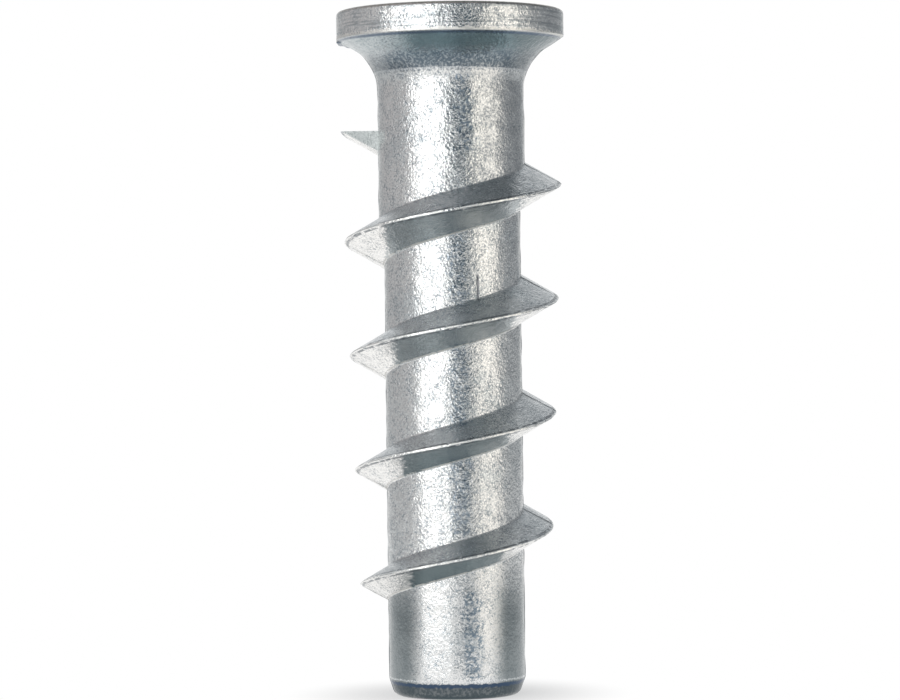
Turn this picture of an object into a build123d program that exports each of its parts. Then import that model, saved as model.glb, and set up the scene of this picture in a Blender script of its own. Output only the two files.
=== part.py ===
from build123d import *
import math
import os

# A screw-in anchor for aerated concrete, die-cast in zinc as one piece.
# It stands on its closed tail, with the flange on top and the axis on Z.
# The two halves of the casting die part on the XZ plane.
# Lengths are millimetres and angles are degrees.

# Overall
anchor_length = 60.0

# Flange, with its trumpet-shaped underside
flange_diameter = 20.0
flange_rim_height = 2.5
flange_edge_radius = 0.35
underside_angle = 31.0
underside_radius = 3.85

# Shank above the thread, and the core that carries the thread
shank_diameter = 12.8
core_diameter = 11.9
tail_taper_height = 1.5
tail_taper_angle = 19.0
tail_corner_radius = 0.5

# Outer thread, right-handed, its crest on a cone that narrows towards the tail
thread_pitch = 10.0
thread_turns = 4.0
thread_start_height = 9.75
thread_start_crest_radius = 8.45
thread_cone_angle = 1.95
thread_flank_angle = 28.5
thread_crest_width = 0.1
thread_root_below_core = 1.5
thread_end_trim = 0.15

# Shank skirt, whose lower edge hides in the uppermost turn of the thread
skirt_below_crest = 0.8
skirt_seam_gap = 0.4

# Hexagon socket for the setting key
socket_across_flats = 8.1
socket_depth = 15.0
socket_lead_in = 0.5
socket_corner_radius = 0.4

# Bore of the metric inner thread, at its minor diameter
bolt_diameter = 8.0
bolt_pitch = 1.25
minor_diameter_factor = 1.0825
bore_lead_in = 0.3
bore_floor_height = 8.0
bore_floor_angle = 30.0

# Radii and levels that follow from the sizes above
flange_radius = flange_diameter / 2
shank_radius = shank_diameter / 2
core_radius = core_diameter / 2
rim_bottom = anchor_length - flange_rim_height
thread_top = thread_start_height + thread_turns * thread_pitch
thread_trim_level = thread_top - thread_end_trim
thread_top_crest_radius = (
    thread_start_crest_radius
    + thread_turns * thread_pitch * math.tan(math.radians(thread_cone_angle))
)
skirt_top = thread_top - skirt_below_crest
shank_bottom = skirt_top - 2 * skirt_seam_gap
socket_floor = anchor_length - socket_depth
bore_radius = (bolt_diameter - minor_diameter_factor * bolt_pitch) / 2


def helix_on_cone(radius, height, turns, cone_angle):
    """A right-handed helix that starts on -X, at the parting plane."""
    rise = turns * thread_pitch
    pitch_on_cone = thread_pitch / math.cos(math.radians(cone_angle))
    helix = Edge.make_helix(pitch_on_cone, rise, radius, angle=cone_angle)
    return helix.rotate(Axis.Z, 180).moved(Location((0, 0, height)))


def helical_solid(corners, height, turns, cone_angle=0.0):
    """The solid that a section swept up a helix makes.

    corners are (radius, height above the helix) pairs, in order round the section.
    The section stays in the plane of the axis, so both ends are flat on the parting plane.
    """
    helices = []
    for radius, level in corners:
        helices.append(helix_on_cone(radius, height + level, turns, cone_angle))
    faces = []
    for lower, upper in zip(helices, helices[1:] + helices[:1]):
        faces.append(Face.make_surface_from_curves(lower, upper))
    for end in (0, 1):
        points = [helix.position_at(end) for helix in helices]
        faces.append(Face(Wire.make_polygon(points, close=True)))
    return Solid(Shell(faces))


def lower_core():
    """The core from its closed, tapered end up into the shank."""
    taper = tail_taper_height * math.tan(math.radians(tail_taper_angle))
    with BuildPart() as core:
        Cylinder(core_radius, thread_top, align=(Align.CENTER, Align.CENTER, Align.MIN))
        tail_edge = core.edges().group_by(Axis.Z)[0]
        chamfer(tail_edge, tail_taper_height, taper)
        end_edge = core.edges().group_by(Axis.Z)[0]
        fillet(end_edge, tail_corner_radius)
    return core.part


def head_and_shank():
    """The flange, its flared underside and the shank, turned about the axis."""
    slope = math.radians(underside_angle)
    arc_centre_radius = shank_radius + underside_radius
    arc_end_radius = arc_centre_radius - underside_radius * math.sin(slope)
    arc_rise = underside_radius * math.cos(slope)
    arc_end_height = rim_bottom - (flange_radius - arc_end_radius) * math.tan(slope)
    arc_start_height = arc_end_height - arc_rise
    half_turn = math.radians((90 - underside_angle) / 2)
    arc_middle = (
        arc_centre_radius - underside_radius * math.cos(half_turn),
        arc_start_height + underside_radius * math.sin(half_turn),
    )
    with BuildPart() as head:
        with BuildSketch(Plane.XZ):
            with BuildLine():
                Polyline((0, shank_bottom), (shank_radius, shank_bottom), (shank_radius, arc_start_height))
                ThreePointArc(
                    (shank_radius, arc_start_height),
                    arc_middle,
                    (arc_end_radius, arc_end_height),
                )
                Polyline(
                    (arc_end_radius, arc_end_height),
                    (flange_radius, rim_bottom),
                    (flange_radius, anchor_length),
                    (0, anchor_length),
                    (0, shank_bottom),
                )
            make_face()
        revolve(axis=Axis.Z)
        rim_edge = head.edges().filter_by(GeomType.CIRCLE).group_by(Axis.Z)[-1]
        fillet(rim_edge, flange_edge_radius)
    return head.part


def shank_skirt():
    """The lowest part of the shank, which ends along the uppermost turn of the thread."""
    skirt_start = skirt_top - thread_pitch
    ring_bottom = skirt_start + skirt_seam_gap
    ring = Pos(0, 0, ring_bottom) * Cylinder(
        shank_radius,
        skirt_top - ring_bottom,
        align=(Align.CENTER, Align.CENTER, Align.MIN),
    )
    inside = core_radius / 2
    outside = shank_radius + core_radius
    depth = thread_pitch - skirt_seam_gap
    below_skirt = helical_solid(
        [(inside, -depth), (outside, -depth), (outside, 0), (inside, 0)],
        skirt_start,
        1.0,
    )
    return ring - Part(below_skirt.wrapped)


def outer_thread():
    """Four turns of a triangular tooth, cut off level at the top end."""
    depth = thread_top_crest_radius - core_radius + thread_root_below_core
    half_crest = thread_crest_width / 2
    half_root = half_crest + depth * math.tan(math.radians(thread_flank_angle))
    crest = thread_start_crest_radius
    root = crest - depth
    tooth = helical_solid(
        [(root, -half_root), (crest, -half_crest), (crest, half_crest), (root, half_root)],
        thread_start_height,
        thread_turns,
        thread_cone_angle,
    )
    above_trim = Pos(0, 0, thread_trim_level) * Cylinder(
        2 * thread_top_crest_radius,
        anchor_length,
        align=(Align.CENTER, Align.CENTER, Align.MIN),
    )
    return Part(tooth.wrapped) - above_trim


def drive_socket():
    """The hexagon socket in the head, with a small lead-in at its mouth."""
    across_corners = socket_across_flats / math.cos(math.pi / 6)
    with BuildPart() as socket:
        with BuildSketch(Plane.XY.offset(socket_floor)):
            RegularPolygon(across_corners / 2, 6)
            fillet(vertices(), socket_corner_radius)
        extrude(amount=socket_depth)
    mouth = Pos(0, 0, anchor_length - socket_lead_in / 2) * Cone(
        across_corners / 2 - socket_lead_in,
        across_corners / 2,
        socket_lead_in,
    )
    return socket.part + mouth


def threaded_bore():
    """The blind bore below the socket, with a coned mouth and a coned floor."""
    mouth_radius = bolt_diameter / 2 + bore_lead_in
    mouth_depth = mouth_radius - bore_radius
    floor_rise = bore_radius * math.tan(math.radians(bore_floor_angle))
    with BuildPart() as bore:
        with BuildSketch(Plane.XZ):
            with BuildLine():
                Polyline(
                    (0, bore_floor_height),
                    (bore_radius, bore_floor_height + floor_rise),
                    (bore_radius, socket_floor - mouth_depth),
                    (mouth_radius, socket_floor),
                    (0, socket_floor),
                    (0, bore_floor_height),
                )
            make_face()
        revolve(axis=Axis.Z)
    return bore.part


def anchor_body():
    body = lower_core() + head_and_shank()
    body = body + shank_skirt()
    body = body + outer_thread()
    body = body - drive_socket()
    return body - threaded_bore()


os.makedirs("parts", exist_ok=True)
body = anchor_body()
export_step(body, "parts/anchor_body.step")
print("volume", round(body.volume, 1), "valid", body.is_valid, "solids", len(body.solids()))
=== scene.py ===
import math

import bpy
from mathutils import Matrix, Vector, noise


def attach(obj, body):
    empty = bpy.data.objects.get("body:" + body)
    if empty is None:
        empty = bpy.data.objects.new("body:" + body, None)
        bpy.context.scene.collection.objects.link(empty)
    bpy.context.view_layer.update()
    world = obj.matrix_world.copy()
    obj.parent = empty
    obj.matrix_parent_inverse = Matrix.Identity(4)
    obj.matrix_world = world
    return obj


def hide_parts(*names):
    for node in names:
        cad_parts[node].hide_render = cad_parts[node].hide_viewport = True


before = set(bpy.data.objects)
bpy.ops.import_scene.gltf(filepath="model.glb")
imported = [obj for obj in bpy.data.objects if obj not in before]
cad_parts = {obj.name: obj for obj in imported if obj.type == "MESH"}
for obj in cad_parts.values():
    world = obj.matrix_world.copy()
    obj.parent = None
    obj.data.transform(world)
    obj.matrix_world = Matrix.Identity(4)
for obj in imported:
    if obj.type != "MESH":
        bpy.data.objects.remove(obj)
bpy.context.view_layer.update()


# The shank with its flange
# The upper part of the zinc casting. It is a plain shank that opens like a trumpet into the flange,
# and its lower edge climbs with the last turn of the outer thread, which hides the step to the core.
mm = 0.001
turned_sides = 192
ring_spacing = 0.6 * mm

shank_radius = 6.4 * mm
flange_radius = 9.99 * mm
flange_top = 60 * mm
rim_bottom = 57.5 * mm
underside_slope = math.radians(31)
flare_radius = 3.85 * mm


def select_only(piece):
    """Makes one object the only selected one, and the active one."""
    bpy.ops.object.select_all(action="DESELECT")
    piece.select_set(True)
    bpy.context.view_layer.objects.active = piece


def arc(centre, radius, start, end, steps):
    """The points of an arc in a profile of (radius, height) pairs, with its angles in degrees."""
    points = []
    for step in range(steps + 1):
        angle = math.radians(start + (end - start) * step / steps)
        points.append((centre[0] + radius * math.cos(angle), centre[1] + radius * math.sin(angle)))
    return points


def turned_solid(name, profile):
    """A solid of revolution, drawn up ring by ring from the disc at its lower end."""
    radius, height = profile[0]
    bpy.ops.object.select_all(action="DESELECT")
    bpy.ops.mesh.primitive_circle_add(vertices=turned_sides, radius=radius, fill_type="NGON")
    piece = bpy.context.object
    piece.name = name
    bpy.ops.object.mode_set(mode="EDIT")
    bpy.ops.transform.translate(value=(0, 0, height))
    for next_radius, next_height in profile[1:]:
        length = math.hypot(next_radius - radius, next_height - height)
        rings = max(1, round(length / ring_spacing))
        radius_step = (next_radius - radius) / rings
        height_step = (next_height - height) / rings
        for ring in range(rings):
            growth = (radius + radius_step) / radius
            radius += radius_step
            height += height_step
            bpy.ops.mesh.extrude_region_move(TRANSFORM_OT_translate={"value": (0, 0, height_step)})
            bpy.ops.transform.resize(value=(growth, growth, 1), center_override=(0, 0, height))
    bpy.ops.mesh.select_all(action="SELECT")
    bpy.ops.mesh.normals_make_consistent(inside=False)
    bpy.ops.object.mode_set(mode="OBJECT")
    return piece


def combine(body, other, operation):
    """Joins another solid to the body, or cuts it out of the body, and removes it."""
    select_only(body)
    step = body.modifiers.new("combine", "BOOLEAN")
    step.operation = operation
    step.solver = "EXACT"
    step.object = other
    bpy.ops.object.modifier_apply(modifier=step.name)
    bpy.data.objects.remove(other)
    bpy.ops.object.mode_set(mode="EDIT")
    bpy.ops.mesh.select_all(action="SELECT")
    bpy.ops.mesh.remove_doubles(threshold=1e-7)
    bpy.ops.object.mode_set(mode="OBJECT")


def helical_solid(name, section, start_height, pitch, turns, steps):
    """A solid that a closed section of (radius, height) pairs leaves behind on its way up a helix.

    It starts on -X, at the die's parting plane, and runs the right-handed way.
    """
    bpy.ops.object.select_all(action="DESELECT")
    bpy.ops.mesh.primitive_circle_add(vertices=len(section), fill_type="NOTHING")
    piece = bpy.context.object
    piece.name = name
    for vertex, (radius, height) in zip(piece.data.vertices, section):
        vertex.co = (-radius, 0, start_height + height)
    sweep = piece.modifiers.new("sweep", "SCREW")
    sweep.axis = "Z"
    sweep.angle = math.tau
    sweep.screw_offset = pitch
    sweep.iterations = turns
    sweep.steps = steps
    sweep.render_steps = steps
    sweep.use_merge_vertices = False
    bpy.ops.object.modifier_apply(modifier=sweep.name)
    for first in (0, len(piece.data.vertices) - len(section)):
        bpy.ops.object.mode_set(mode="EDIT")
        bpy.ops.mesh.select_mode(type="VERT")
        bpy.ops.mesh.select_all(action="DESELECT")
        bpy.ops.object.mode_set(mode="OBJECT")
        for index in range(first, first + len(section)):
            piece.data.vertices[index].select = True
        bpy.ops.object.mode_set(mode="EDIT")
        bpy.ops.mesh.edge_face_add()
        bpy.ops.object.mode_set(mode="OBJECT")
    bpy.ops.object.mode_set(mode="EDIT")
    bpy.ops.mesh.select_all(action="SELECT")
    bpy.ops.mesh.normals_make_consistent(inside=False)
    bpy.ops.object.mode_set(mode="OBJECT")
    return piece


thread_pitch = 10 * mm
skirt_start = 38.95 * mm
skirt_bottom = 39.35 * mm
flare_centre_radius = shank_radius + flare_radius
flare_end_radius = flare_centre_radius - flare_radius * math.sin(underside_slope)
flare_end_height = rim_bottom - (flange_radius - flare_end_radius) * math.tan(underside_slope)
flare_centre_height = flare_end_height - flare_radius * math.cos(underside_slope)
rim_edge = 0.35 * mm
rim_lip = 0.08 * mm

shank_profile = [(shank_radius, skirt_bottom)]
shank_profile += arc((flare_centre_radius, flare_centre_height), flare_radius, 180, 121, 18)
shank_profile += arc((flange_radius - rim_lip, rim_bottom + rim_lip), rim_lip, -59, 0, 5)
shank_profile += arc((flange_radius - rim_edge, flange_top - rim_edge), rim_edge, 0, 90, 8)
shank_profile.append((4 * mm, flange_top))
casting = turned_solid("anchor_casting", shank_profile)

# Near the parting plane the underside is a little raised. The rim's lower lip droops on the left,
# behind that plane, and rises on the right.
lift_start = 7 * mm
lift_slope = 0.2
lift_half_angle = 40
droop_start_angle = 95
droop_rise_angle = 50
lip_droop = 0.2 * mm
lip_waviness = 0.1 * mm
lip_lift = 0.24 * mm
for vertex in casting.data.vertices:
    angle = math.degrees(math.atan2(vertex.co.y, vertex.co.x)) % 360
    from_side = min(angle % 180, 180 - angle % 180)
    from_right = min(angle, 360 - angle)
    from_axis = math.hypot(vertex.co.x, vertex.co.y)
    at_lip = flange_radius - from_axis < 0.1 * mm
    if from_axis > lift_start and not at_lip and vertex.co.z < rim_bottom:
        lift = lift_slope * min(1 * mm, from_axis - lift_start)
        vertex.co.z += lift * max(0, 1 - from_side / lift_half_angle)
    if at_lip and vertex.co.z < rim_bottom + 2 * rim_lip:
        if droop_start_angle < angle < 180.5:
            droop = lip_droop + lip_waviness * noise.noise(vertex.co * 900)
            vertex.co.z -= droop * min(1, (angle - droop_start_angle) / droop_rise_angle)
        vertex.co.z += lip_lift * max(0, 1 - from_right / lift_half_angle)

cut_inside = 3 * mm
cut_outside = 9 * mm
cut_depth = 9.8 * mm
skirt_edge = [
    (cut_inside, -cut_depth),
    (cut_outside, -cut_depth),
    (cut_outside, 0),
    (cut_inside, 0),
]
below_skirt = helical_solid("below_skirt", skirt_edge, skirt_start, thread_pitch, 1, turned_sides)
combine(casting, below_skirt, "DIFFERENCE")


# The core
# The lower part of the casting, which fills the drill hole. It is closed at the tail, where it tapers
# a little so that it finds the hole, and its end edge is rounded by tumbling.
core_radius = 5.95 * mm
taper_height = 1.5 * mm
taper_angle = 19
tail_corner = 0.7 * mm
shoulder_inset = 0.02 * mm
core_top = 53 * mm
tail_radius = core_radius - taper_height * math.tan(math.radians(taper_angle))
corner_tangent = tail_corner * math.tan(math.radians((90 - taper_angle) / 2))

core_profile = arc((tail_radius - corner_tangent, tail_corner), tail_corner, -90, -taper_angle, 6)
core_profile.append((core_radius - shoulder_inset, taper_height - 0.07 * mm))
core_profile.append((core_radius, taper_height + 0.05 * mm))
core_profile.append((core_radius, core_top))
core = turned_solid("core", core_profile)
combine(casting, core, "UNION")


# The outer thread
# Four right-handed turns, cast with the core, that cut into the soft concrete. They narrow towards the
# tail and end flat on the parting plane. The crest is ragged where the metal didn't fill the die.
thread_turns = 4
thread_steps = 320
thread_start = 9.75 * mm
thread_trim = 49.6 * mm
crest_start_radius = 8.45 * mm
cone_slope = math.tan(math.radians(1.95))
flank_angle = 28.5
flank_slope = math.tan(math.radians(flank_angle))
flank_foot = 0.05 * mm
root_sunk = 1.5 * mm
root_fillet = 0.3 * mm
fillet_start = 193
fillet_end = 270 - flank_angle
crest_half_width = 0.03 * mm
crest_widening = 0.06 * mm
chips_per_turn = 42
deepest_lower_chip = 0.15
deepest_upper_chip = 0.13


def tooth_section(crest_radius, half_width, lower_root, upper_root, lower_chip, upper_chip):
    """The section of a tooth, from its lower root over the crest to its upper root."""
    points = []
    for side, root, chip in ((-1, lower_root, lower_chip), (1, upper_root, upper_chip)):
        half = []
        foot = flank_foot + (crest_radius - root) * flank_slope
        half.append((root - root_sunk, foot))
        centre_radius = root + root_fillet - 0.02 * mm
        centre_height = foot + root_fillet * math.tan(math.radians((90 - flank_angle) / 2))
        for step in range(5):
            angle = math.radians(fillet_start + (fillet_end - fillet_start) * step / 4)
            half.append((
                centre_radius + root_fillet * math.cos(angle),
                centre_height + root_fillet * math.sin(angle),
            ))
        for depth in (1.3, 0.8, 0.4, 0.22):
            half.append((crest_radius - depth * mm, flank_foot + depth * mm * flank_slope))
        half.append((crest_radius - 0.05 * mm - chip, half_width + 0.02 * mm))
        half.append((crest_radius - 0.3 * chip, (half_width - 0.01 * mm) * (1 - 2.5 * chip / mm)))
        half = [(radius, side * height) for radius, height in half]
        points += half if side < 0 else half[::-1]
    return points


section = tooth_section(crest_start_radius, crest_half_width, core_radius, core_radius, 0, 0)
thread = helical_solid("thread", section, thread_start, thread_pitch, thread_turns, thread_steps)
section_length = len(section)
for step in range(thread_turns * thread_steps + 1):
    turn = step / thread_steps
    angle = math.pi + math.tau * turn
    upper_root = shank_radius if turn > 3 else core_radius
    place = chips_per_turn * turn
    rough = noise.noise(Vector((place, 1.7, 0))) + 0.7 * noise.noise(Vector((2.7 * place, 5.1, 0)))
    lower_chip = min(deepest_lower_chip, 0.2 * max(0, rough + 0.1)) * mm
    rough = noise.noise(Vector((place, 8.3, 4))) + 0.7 * noise.noise(Vector((2.7 * place, 2.9, 4)))
    upper_chip = min(deepest_upper_chip, 0.14 * max(0, rough)) * mm
    crest_radius = crest_start_radius + thread_pitch * cone_slope * turn
    crest_radius -= 0.05 * mm * max(0, noise.noise(Vector((0.4 * place, 3.3, 9))))
    half_width = crest_half_width + crest_widening * abs(math.sin(angle))
    section = tooth_section(crest_radius, half_width, core_radius, upper_root, lower_chip, upper_chip)
    for point, (radius, height) in enumerate(section):
        thread.data.vertices[step * section_length + point].co = (
            radius * math.cos(angle),
            radius * math.sin(angle),
            thread_start + thread_pitch * turn + height,
        )
select_only(thread)
bpy.ops.object.mode_set(mode="EDIT")
bpy.ops.mesh.select_all(action="SELECT")
bpy.ops.mesh.bisect(
    plane_co=(0, 0, thread_trim),
    plane_no=(0, 0, 1),
    use_fill=True,
    clear_outer=True,
    threshold=1e-7,
)
bpy.ops.object.mode_set(mode="OBJECT")
combine(casting, thread, "UNION")


# The parting flash
# A fin of metal along the plane where the two halves of the die met. It was trimmed and tumbled, so it
# stands less than a tenth of a millimetre proud and is gone in places.
flash_height = 0.07 * mm
flash_half_width = 0.06 * mm
flash_on_crest = 0.4
end_margin = 0.2 * mm
on_plane = 2e-6

select_only(casting)
bpy.ops.object.mode_set(mode="EDIT")
for offset in (-flash_half_width, 0, flash_half_width):
    bpy.ops.mesh.select_all(action="SELECT")
    bpy.ops.mesh.bisect(plane_co=(0, offset, 0), plane_no=(0, 1, 0), threshold=1e-6)
bpy.ops.object.mode_set(mode="OBJECT")
for vertex in casting.data.vertices:
    outwards = Vector((vertex.normal.x, 0, vertex.normal.z))
    near_end = vertex.co.z < end_margin or vertex.co.z > flange_top - end_margin
    if abs(vertex.co.y) > on_plane or near_end or outwards.length < 0.1:
        continue
    height = flash_height * (0.55 + 0.9 * noise.noise(vertex.co * 700))
    if abs(vertex.co.x) > crest_start_radius - 0.2 * mm:
        height *= flash_on_crest
    vertex.co += height * outwards.normalized()
    vertex.co.x = max(-flange_radius, min(flange_radius, vertex.co.x))


# The hexagon socket
# The setting key drives the anchor by this socket in the flange. A core pin of the die leaves it, and
# its mouth is opened a little by the pin's shoulder.
socket_flat = 8.1 * mm
socket_floor = 45 * mm
socket_corner_radius = 0.4 * mm
socket_lead_in = 0.5 * mm
setback_share = 0.577
socket_corner = socket_flat / 2 / math.cos(math.pi / 6)
cutter_length = 16 * mm

bpy.ops.object.select_all(action="DESELECT")
bpy.ops.mesh.primitive_cylinder_add(
    vertices=6,
    radius=socket_corner,
    depth=cutter_length,
    location=(0, 0, socket_floor + cutter_length / 2),
    rotation=(0, 0, math.radians(30)),
)
socket = bpy.context.object
bpy.ops.object.transform_apply(location=True, rotation=True, scale=True)
for edge in socket.data.edges:
    low, high = (socket.data.vertices[index].co for index in edge.vertices)
    edge.select = abs(low.z - high.z) > mm
bpy.ops.object.mode_set(mode="EDIT")
bpy.ops.mesh.select_mode(type="EDGE")
corner_setback = socket_corner_radius * setback_share
bpy.ops.mesh.bevel(offset=corner_setback, segments=5, affect="EDGES")
bpy.ops.object.mode_set(mode="OBJECT")
combine(casting, socket, "DIFFERENCE")

bpy.ops.mesh.primitive_cone_add(
    vertices=96,
    radius1=socket_corner - 2 * socket_lead_in,
    radius2=socket_corner + socket_lead_in,
    depth=3 * socket_lead_in,
    location=(0, 0, flange_top - socket_lead_in / 2),
)
mouth = bpy.context.object
bpy.ops.object.transform_apply(location=True, rotation=True, scale=True)
combine(casting, mouth, "DIFFERENCE")


# The inner thread
# A metric 8 mm thread takes the bolt. The blind bore is cast and its thread is cut with a tap that
# enters through the socket, so the grooves start at the bore's coned mouth.
bore_radius = 3.3234 * mm
bore_floor = 8 * mm
bore_floor_angle = 30
bore_mouth_radius = 4.3 * mm
bolt_pitch = 1.25 * mm
groove_start = 11 * mm
groove_turns = 27
groove_steps = 64
groove_inside = 3.15 * mm
groove_depth_radius = 4.02 * mm
groove_half_mouth = 0.57 * mm
groove_half_bottom = 0.07 * mm

bore_profile = [
    (0.02 * mm, bore_floor),
    (bore_radius, bore_floor + bore_radius * math.tan(math.radians(bore_floor_angle))),
    (bore_radius, socket_floor - bore_mouth_radius + bore_radius),
    (bore_mouth_radius + 0.1 * mm, socket_floor + 0.1 * mm),
]
bore = turned_solid("bore", bore_profile)
combine(casting, bore, "DIFFERENCE")

groove = [
    (groove_inside, -groove_half_mouth),
    (groove_depth_radius, -groove_half_bottom),
    (groove_depth_radius, groove_half_bottom),
    (groove_inside, groove_half_mouth),
]
tapped = helical_solid("tapped", groove, groove_start, bolt_pitch, groove_turns, groove_steps)
combine(casting, tapped, "DIFFERENCE")


# The casting's skin
# Die-cast zinc from the tumbler: satin grey with a fine orange-peel skin, dark specks and bluish stains,
# and a crest rubbed bright. Painted shade darkens the faces that point up or down, the taper and the
# lower sides; painted highlights and reflections brighten some edges and the outer ends of the thread's
# lower flanks.
class Reading:
    """A number that varies over the surface. Sums on it add Math nodes."""

    def __init__(self, finish, socket):
        self.finish = finish
        self.socket = socket

    def maths(self, operation, *values):
        return self.finish.node("ShaderNodeMath", {"operation": operation}, dict(enumerate(values)))

    def __add__(self, other):
        return self.maths("ADD", self, other)

    def __radd__(self, other):
        return self.maths("ADD", other, self)

    def __sub__(self, other):
        return self.maths("SUBTRACT", self, other)

    def __rsub__(self, other):
        return self.maths("SUBTRACT", other, self)

    def __mul__(self, other):
        return self.maths("MULTIPLY", self, other)

    def __rmul__(self, other):
        return self.maths("MULTIPLY", other, self)

    def __pow__(self, other):
        return self.maths("POWER", self, other)


class Finish:
    """The nodes of a material, or of the room."""

    def __init__(self, owner):
        self.owner = owner
        owner.use_nodes = True
        self.tree = owner.node_tree
        self.tree.nodes.clear()

    def node(self, kind, settings, values, output=0):
        """Adds a node, sets it, fills or links its sockets, and gives back one of its outputs."""
        node = self.tree.nodes.new(kind)
        for name, setting in settings.items():
            setattr(node, name, setting)
        for name, value in values.items():
            if isinstance(value, Reading):
                self.tree.links.new(value.socket, node.inputs[name])
            else:
                node.inputs[name].default_value = value
        if output is not None:
            return Reading(self, node.outputs[output])

    def show(self, shader, kind="ShaderNodeOutputMaterial"):
        """Makes a shader the surface of the material, or the room's background."""
        self.node(kind, {}, {"Surface": shader}, output=None)

    def between(self, value, low, high):
        """0 below low, 1 above high, and a soft rise between them."""
        return self.node(
            "ShaderNodeMapRange",
            {"interpolation_type": "SMOOTHSTEP"},
            {"Value": value, "From Min": low, "From Max": high},
        )

    def band(self, value, start, full, fading, gone):
        """1 from full to fading, 0 before start and after gone."""
        return self.between(value, start, full) * (1 - self.between(value, fading, gone))

    def mix(self, factor, first, second):
        """A colour mixed from two."""
        return self.node(
            "ShaderNodeMix",
            {"data_type": "RGBA"},
            {0: factor, 6: first, 7: second},
            output=2,
        )


zinc = Finish(bpy.data.materials.new("die_cast_zinc_skin"))
place = zinc.node("ShaderNodeTexCoord", {}, {}, output="Object")
millimetres = zinc.node("ShaderNodeVectorMath", {"operation": "SCALE"}, {0: place, "Scale": 1000.0})


def clouds(scale, detail, roughness, stretch=None):
    """Noise from 0 to 1 with a grain of about 1 / scale millimetres."""
    where = millimetres
    if stretch:
        where = zinc.node(
            "ShaderNodeVectorMath",
            {"operation": "MULTIPLY"},
            {0: millimetres, 1: stretch},
        )
    return zinc.node(
        "ShaderNodeTexNoise",
        {},
        {"Vector": where, "Scale": scale, "Detail": detail, "Roughness": roughness},
    )


across = zinc.node("ShaderNodeSeparateXYZ", {}, {0: millimetres}, output="X")
along = zinc.node("ShaderNodeSeparateXYZ", {}, {0: millimetres}, output="Y")
up = zinc.node("ShaderNodeSeparateXYZ", {}, {0: millimetres}, output="Z")
aside = across.maths("ABSOLUTE", across)
from_axis = (across * across + along * along) ** 0.5
crest_here = crest_start_radius / mm + (up - thread_start / mm) * cone_slope
from_crest = from_axis - crest_here

normal = zinc.node("ShaderNodeTexCoord", {}, {}, output="Normal")
facing_up = zinc.node("ShaderNodeSeparateXYZ", {}, {0: normal}, output="Z")
tilted = zinc.between(facing_up, 0.55, 0.8)
facing_down = zinc.between(0 - facing_up, 0.3, 0.7)

on_flange = zinc.between(up, 50.0, 50.6)
off_flange = 1 - on_flange
under_flange = facing_down * on_flange
under_thread = facing_down * off_flange
on_rim = zinc.between(up, 57.4, 57.6) * zinc.between(from_axis, 9.6, 9.9)
on_shank = zinc.band(from_axis, 6.2, 6.3, 6.5, 6.6) * (1 - facing_down) * (1 - tilted)
on_parting = (1 - zinc.between(along * along, 0.0005, 0.003)) * zinc.between(from_axis, 5.7, 5.9)
on_parting = on_parting * off_flange
end_face = on_parting * zinc.between(up, 46.8, 47.0)
worn = zinc.between(from_crest, -0.12, -0.06) * off_flange
low = 1 - zinc.between(up, 7.0, 13.0)
# Painted shade: the lower core is darker on its left and right sides.
painted_shade_low_sides = low * zinc.between(aside, 2.6, 4.4)
# Painted shade: the front right of the shank is darker.
painted_shade_shank_right = on_shank * zinc.between(across, 1.6, 3.6) * zinc.between(0 - along, 0.0, 2.0)

peel = clouds(4.2, 1.0, 0.6)
grain = clouds(9.0, 0.5, 0.5)
waves = clouds(0.6, 1.0, 0.5)
ripple = clouds(1.5, 2.0, 0.6)
rim_lines = clouds(1.0, 2.0, 0.5, stretch=(0.25, 0.25, 5.0))
stain = zinc.between(clouds(0.28, 4.0, 0.6) * 0.7 + peel * 0.3, 0.5, 0.66)
dirty = zinc.between(clouds(0.9, 3.0, 0.6), 0.38, 0.62)
specks = zinc.between(clouds(5.4, 2.5, 0.65), 0.525, 0.61) * (0.4 + 0.6 * dirty)
pits = 1 - zinc.between(clouds(2.3, 1.0, 0.4), 0.2, 0.27)
fine = zinc.between(clouds(7.0, 1.0, 0.5), 0.44, 0.6) * (1 - under_flange * 0.6 - low * 0.5)
level = clouds(3.0, 2.0, 0.6) - 0.5
veins = 1 - zinc.between(level.maths("ABSOLUTE", level), 0.012, 0.05)
veins = veins * (0.3 + 0.7 * dirty) * (1 - under_flange * 0.6)

tail_edge = up + (peel - 0.5) * 0.3
# Painted shade: the tail's taper is dark, with a darker bluish line at its crease.
painted_tail_shade = 1 - zinc.between(tail_edge, 1.34, 1.44)
painted_crease_shade = painted_tail_shade * zinc.between(tail_edge, 1.02, 1.14)
# Painted highlight: a pale line just above the crease at the tail.
painted_crease_highlight = zinc.band(tail_edge, 1.5, 1.56, 1.66, 1.72) * zinc.between(grain, 0.3, 0.6)
on_flare = zinc.between(up + peel * 0.6, 54.6, 54.9) * (1 - zinc.between(up + peel * 1.5, 56.4, 57.4))
# Painted shade: the flare under the flange is dark, mottled by noise, and less dark at its sides.
painted_flare_shade = 0.42 + 0.42 * zinc.between(clouds(4.8, 3.0, 0.7), 0.4, 0.54)
painted_flare_shade = on_flare * painted_flare_shade * (1 - 0.5 * zinc.between(aside, 4.9, 6.4))
# Painted highlight: a pale line where the shank meets the flare.
painted_flare_foot_highlight = zinc.band(up, 54.42, 54.5, 54.62, 54.7) * zinc.between(grain, 0.3, 0.5)
# Painted shadow: a dark band at the foot of the rim, below its lower edge.
painted_rim_shadow = 1 - zinc.between(up + (peel - 0.5) * 0.4, 57.5, 57.62)
painted_rim_shadow = painted_rim_shadow * zinc.between(from_axis, 9.5, 9.66)
# Painted shade: a dark brownish line along the rim's rounded top edge.
painted_rim_top_shade = zinc.between(from_axis, 9.6, 9.75) * zinc.between(up, 59.7, 59.85)
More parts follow.
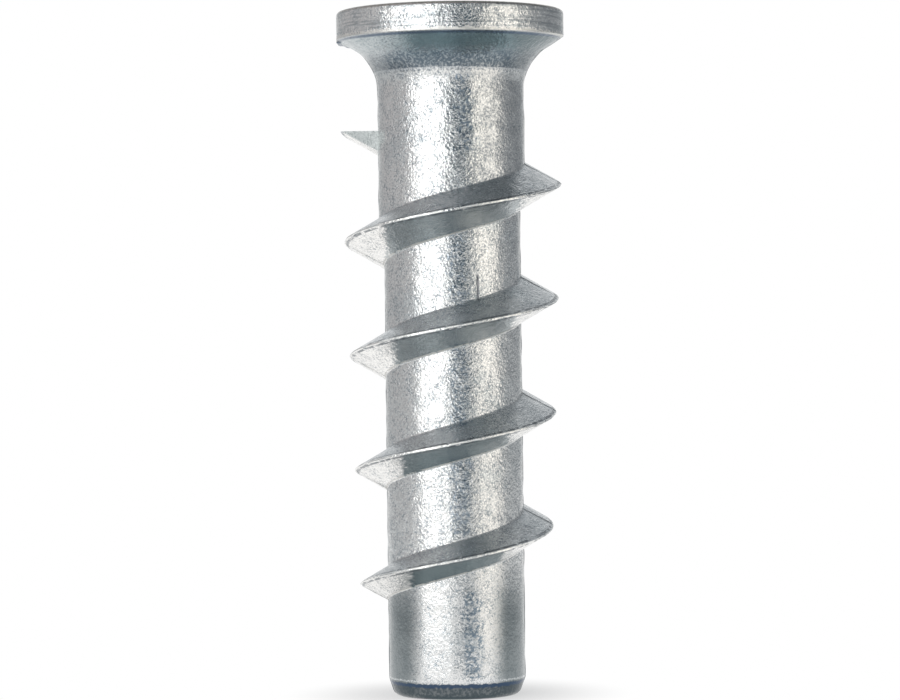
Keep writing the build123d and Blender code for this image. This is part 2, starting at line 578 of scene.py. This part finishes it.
# Painted highlight: a pale band along the rim's lower edge.
painted_rim_edge_highlight = on_rim * (1 - zinc.between(up + (peel - 0.5) * 0.8, 57.75, 57.85))
# Painted highlight: a pale, less metallic line along the lower root of the thread.
painted_root_highlight = zinc.band(from_axis, 5.97, 6.0, 6.09, 6.16) * zinc.between(0 - facing_up, 0.15, 0.35)
painted_root_highlight = painted_root_highlight * zinc.between(ripple, 0.36, 0.46)
crest_shade = zinc.band(from_crest, -0.4, -0.3, -0.18, -0.1) * zinc.between(ripple, 0.38, 0.52)
crest_shade = crest_shade * (facing_down + tilted) * off_flange
# Painted reflection and painted shade: the thread's lower flanks are pale towards their outer ends and
# dark teal between, darkest on the lower turns.
painted_reflection_sides = zinc.between(aside - (up - 11) * 0.063 + (ripple - 0.5) * 1.8, 3.6, 4.2)
# Painted shade: the flange's underside is dark teal, more so towards the left and less on the flare.
painted_underside_shade = under_flange * (0.5 + 0.4 * zinc.between(across, -6.0, -2.5))
painted_underside_shade = painted_underside_shade * (1 - on_flare * 0.45)
painted_thread_shade = under_thread * (1 - painted_reflection_sides) * (0.95 - 0.38 * zinc.between(up, 12.0, 38.0))


def upright_mark(across_at, bottom, top, half_width, ragged=0.0):
    """A short mark along the axis, on the side of the casting that faces the front."""
    beside = across + (ripple - 0.5) * ragged - across_at
    mark = 1 - zinc.between(beside * beside, half_width**2 * 0.3, half_width**2)
    mark = mark * zinc.band(up, bottom, bottom + 0.3, top - 0.3, top)
    return mark * (1 - zinc.between(along, -1.0, 0.0)) * (1 - zinc.between(from_axis, 6.5, 6.6))


scratch = upright_mark(2.15, 34.5, 36.9, 0.1)
rub = upright_mark(-2.75, 23.6, 28.6, 0.16) * zinc.between(grain, 0.3, 0.5)
# Painted reflection: ragged dark blue streaks up the front of the casting stand in for the dark room
# mirrored in the metal.
painted_reflection_streaks = upright_mark(1.1, 47.3, 54.2, 0.8, ragged=3.0)
painted_reflection_streaks = painted_reflection_streaks + upright_mark(0.45, 14.0, 42.0, 0.95, ragged=2.5) * 0.8
painted_reflection_streaks = painted_reflection_streaks + upright_mark(1.35, 1.7, 9.5, 1.0, ragged=2.0)
painted_reflection_streaks = painted_reflection_streaks * zinc.between(clouds(3.2, 3.0, 0.7), 0.44, 0.58)

height = waves * 0.07 + ripple * 0.045 + peel * 0.042 + grain * 0.012 - pits * 0.03 - specks * 0.01
height = (height - veins * 0.006) * (1 - low * 0.65) + rim_lines * on_rim * 0.03 - scratch * 0.06
relief = zinc.node(
    "ShaderNodeBump",
    {},
    {"Strength": 1.0, "Distance": 0.001, "Height": height},
)

# Each tone lies over the ones before it, as strongly as its mask says.
tones = [
    (stain * 0.4, (0.54, 0.61, 0.64, 1)),
    # Painted shade: faces that point upwards are darker and bluish.
    (tilted * 0.3, (0.36, 0.46, 0.53, 1)),
    (fine * 0.2, (0.36, 0.38, 0.4, 1)),
    (veins * 0.58, (0.22, 0.25, 0.29, 1)),
    (specks * 0.72, (0.24, 0.3, 0.34, 1)),
    # Painted reflection of the dark room.
    (painted_reflection_streaks * 0.75, (0.12, 0.2, 0.28, 1)),
    # Painted shade on the lower sides of the core.
    (painted_shade_low_sides * 0.88, (0.17, 0.2, 0.21, 1)),
    (painted_crease_highlight * 0.5, (0.9, 0.92, 0.93, 1)),
    (pits * 0.4, (0.3, 0.34, 0.37, 1)),
    # Painted shade under the flange, darker again on its right part below.
    (painted_underside_shade, (0.13, 0.22, 0.25, 1)),
    (under_flange * zinc.between(across, 4.0, 6.5) * 0.4, (0.06, 0.05, 0.045, 1)),
    (painted_shade_shank_right * (0.2 + 0.22 * dirty), (0.34, 0.36, 0.38, 1)),
    # Painted reflection and painted shade on the thread's lower flanks.
    (under_thread * painted_reflection_sides * (0.8 - specks * 0.6 - veins * 0.4), (1, 0.985, 0.95, 1)),
    (painted_thread_shade, (0.13, 0.185, 0.2, 1)),
    (crest_shade * 0.85, (0.13, 0.15, 0.17, 1)),
    (painted_flare_shade, (0.06, 0.1, 0.14, 1)),
    (painted_flare_foot_highlight * 0.5, (0.95, 0.96, 0.97, 1)),
    (painted_tail_shade * (0.8 + 0.15 * zinc.between(peel, 0.4, 0.55)), (0.08, 0.105, 0.12, 1)),
    (painted_crease_shade * 0.9, (0.06, 0.1, 0.17, 1)),
    (on_rim * zinc.between(rim_lines, 0.5, 0.62) * 0.6, (0.36, 0.4, 0.42, 1)),
    (painted_rim_shadow * 0.85, (0.08, 0.12, 0.18, 1)),
    (painted_rim_top_shade * 0.6, (0.26, 0.22, 0.18, 1)),
    (scratch * 0.8, (0.16, 0.17, 0.2, 1)),
    (rub * 0.8, (0.95, 0.95, 0.94, 1)),
    (painted_root_highlight * 0.8, (0.85, 0.84, 0.8, 1)),
    (worn * (0.4 + 0.4 * zinc.between(ripple, 0.42, 0.55)), (0.92, 0.92, 0.9, 1)),
    (painted_rim_edge_highlight * 0.7, (0.95, 0.93, 0.88, 1)),
    (on_parting * 0.6, (0.16, 0.18, 0.2, 1)),
    (end_face * 0.9, (0.9, 0.95, 0.94, 1)),
    (end_face * (specks + veins) * 0.4, (0.4, 0.46, 0.45, 1)),
]
metal = (0.88, 0.88, 0.87, 1)
for mask, tone in tones:
    metal = zinc.mix(mask, metal, tone)
dullness = 0.17 + tilted * 0.07 + stain * 0.06 + on_parting * 0.3 + (rub + painted_rim_edge_highlight) * 0.15
surface = zinc.node(
    "ShaderNodeBsdfPrincipled",
    {},
    {
        "Base Color": metal,
        "Metallic": 1 - end_face * 0.85 - painted_root_highlight * 0.7,
        "Roughness": dullness,
        "Normal": relief,
    },
)
zinc.show(surface)

casting.data.materials.clear()
casting.data.materials.append(zinc.owner)
select_only(casting)
bpy.ops.object.mode_set(mode="EDIT")
bpy.ops.mesh.select_all(action="SELECT")
bpy.ops.mesh.remove_doubles(threshold=1e-6)
bpy.ops.object.mode_set(mode="OBJECT")
bpy.ops.object.shade_smooth_by_angle(angle=math.radians(15))
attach(casting, "root")
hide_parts("anchor_body")


# The floor and the backdrop
# A sheet of graded paper: white behind the anchor, pale grey around, and a painted pool of light before
# each softbox.
# It looks and mirrors as bright as it is coloured, and it keeps the anchor's shadow.
camera_back = 0.2945
floor_drop = 0.02 * mm
paper = Finish(bpy.data.materials.new("graded_paper"))
place = paper.node("ShaderNodeTexCoord", {}, {}, output="Object")
depth = paper.node("ShaderNodeSeparateXYZ", {}, {0: place}, output="Y")
distance = paper.node("ShaderNodeVectorMath", {"operation": "LENGTH"}, {0: place}, output="Value")
aside = paper.node("ShaderNodeSeparateXYZ", {}, {0: place}, output="X")
aside = aside.maths("ABSOLUTE", aside)
spread = aside.maths("DIVIDE", aside, depth + camera_back)
behind = (1 - paper.between(0 - depth, 0.005, 0.08)) * (1 - paper.between(spread, 0.137, 0.3))
towards = paper.node("ShaderNodeVectorMath", {"operation": "NORMALIZE"}, {0: place})


def painted_light_pool(azimuth, half_width):
    """A painted pool of light on the paper before a softbox. The azimuth is as in softbox, in degrees.
    """
    turn = math.radians(azimuth)
    inside = paper.node(
        "ShaderNodeVectorMath",
        {"operation": "DOT_PRODUCT"},
        {0: towards, 1: (math.sin(turn), -math.cos(turn), 0)},
        output="Value",
    )
    soft = 9
    outer = math.cos(math.radians(half_width + soft))
    inner = math.cos(math.radians(half_width - soft))
    return paper.between(inside, outer, inner) * paper.between(distance, 0.04, 0.06)


shade = paper.mix(behind, (0.5, 0.52, 0.53, 1), (1, 1, 1, 1))
shade = paper.mix(painted_light_pool(-24, 34), shade, (1, 1, 0.99, 1))
shade = paper.mix(painted_light_pool(60, 25), shade, (1, 0.97, 0.92, 1))
seen = paper.node("ShaderNodeLightPath", {}, {}, output="Is Camera Ray")
mirrored = paper.node("ShaderNodeLightPath", {}, {}, output="Is Glossy Ray")
through = paper.node("ShaderNodeLightPath", {}, {}, output="Is Transmission Ray")
shows = seen.maths("MAXIMUM", seen.maths("MAXIMUM", seen, mirrored), through)
lit = shows * (0.6 + 0.4 * paper.between(distance, 0.005, 0.016))
matt = paper.node("ShaderNodeBsdfDiffuse", {}, {"Color": paper.mix(0.15, shade, (0, 0, 0, 1))})
white = paper.node("ShaderNodeEmission", {}, {"Color": shade, "Strength": 1.0})
paper.show(paper.node("ShaderNodeMixShader", {}, {0: lit, 1: matt, 2: white}))

bpy.ops.object.select_all(action="DESELECT")
bpy.ops.mesh.primitive_plane_add(size=3)
floor = bpy.context.object
floor.name = "floor"
floor.data.transform(Matrix.Translation((0, 0, -floor_drop)))
floor.data.materials.append(paper.owner)

bpy.ops.mesh.primitive_plane_add(size=1)
backdrop = bpy.context.object
backdrop.name = "backdrop"
backdrop.data.transform(Matrix.Rotation(math.pi / 2, 4, "X"))
backdrop.data.transform(Matrix.Diagonal((1.2, 1, 1.3, 1)))
backdrop.data.transform(Matrix.Translation((0, 1.0, 0.6)))
backdrop.data.materials.append(paper.owner)


# The light
# A large white softbox on the left and a warmer one on the right of the camera, in a grey room that is
# darkest behind the camera.
def softbox(name, azimuth, width, tall, brightness, colour):
    """A softbox that faces the anchor. The azimuth is in degrees, to the right of the camera."""
    distance = 0.5
    turn = math.radians(azimuth)
    bpy.ops.object.light_add(
        type="AREA",
        location=(distance * math.sin(turn), -distance * math.cos(turn), 0.06),
        rotation=(math.pi / 2, 0, turn),
    )
    lamp = bpy.context.object
    lamp.name = name
    lamp.data.shape = "RECTANGLE"
    lamp.data.size = width
    lamp.data.size_y = tall
    lamp.data.color = colour
    lamp.data.energy = brightness * math.pi * width * tall


softbox("left_softbox", -35, 0.46, 0.5, 2.0, (1, 1, 0.99))
softbox("right_softbox", 57, 0.42, 0.5, 0.94, (1, 0.94, 0.84))

room = Finish(bpy.data.worlds.new("room"))
bpy.context.scene.world = room.owner
direction = room.node("ShaderNodeTexCoord", {}, {}, output="Generated")
sideways = room.node("ShaderNodeSeparateXYZ", {}, {0: direction}, output="X")
backwards = room.node("ShaderNodeSeparateXYZ", {}, {0: direction}, output="Y")
right = room.between(sideways, -0.5, 0.5)
dim = room.between(sideways * 0.21 - backwards * 0.98, 0.72, 0.93)
wall = room.mix(right, (0.48, 0.47, 0.475, 1), (0.245, 0.26, 0.275, 1))
wall = room.mix(dim, wall, (0.045, 0.08, 0.105, 1))
light = room.node("ShaderNodeBackground", {}, {"Color": wall, "Strength": 1.0})
room.show(light, "ShaderNodeOutputWorld")


# The camera
# It stands 29 cm in front of the anchor, level with its middle, with a long lens. It dips by a tenth of
# a degree and is rolled by 0.7 of a degree, which is what fitted the outline in the photo best.
camera_aside = -0.312 * mm
camera_height = 30.78 * mm
camera_dip = 0.00176
camera_roll = 0.0118
bpy.ops.object.camera_add(
    location=(camera_aside, -camera_back, camera_height),
    rotation=(math.pi / 2 - camera_dip, camera_roll, 0),
)
camera = bpy.context.object
camera.data.lens = 133.9
camera.data.sensor_width = 36
camera.data.clip_start = 0.01
bpy.context.scene.camera = camera
bpy.context.scene.view_settings.view_transform = "Standard"
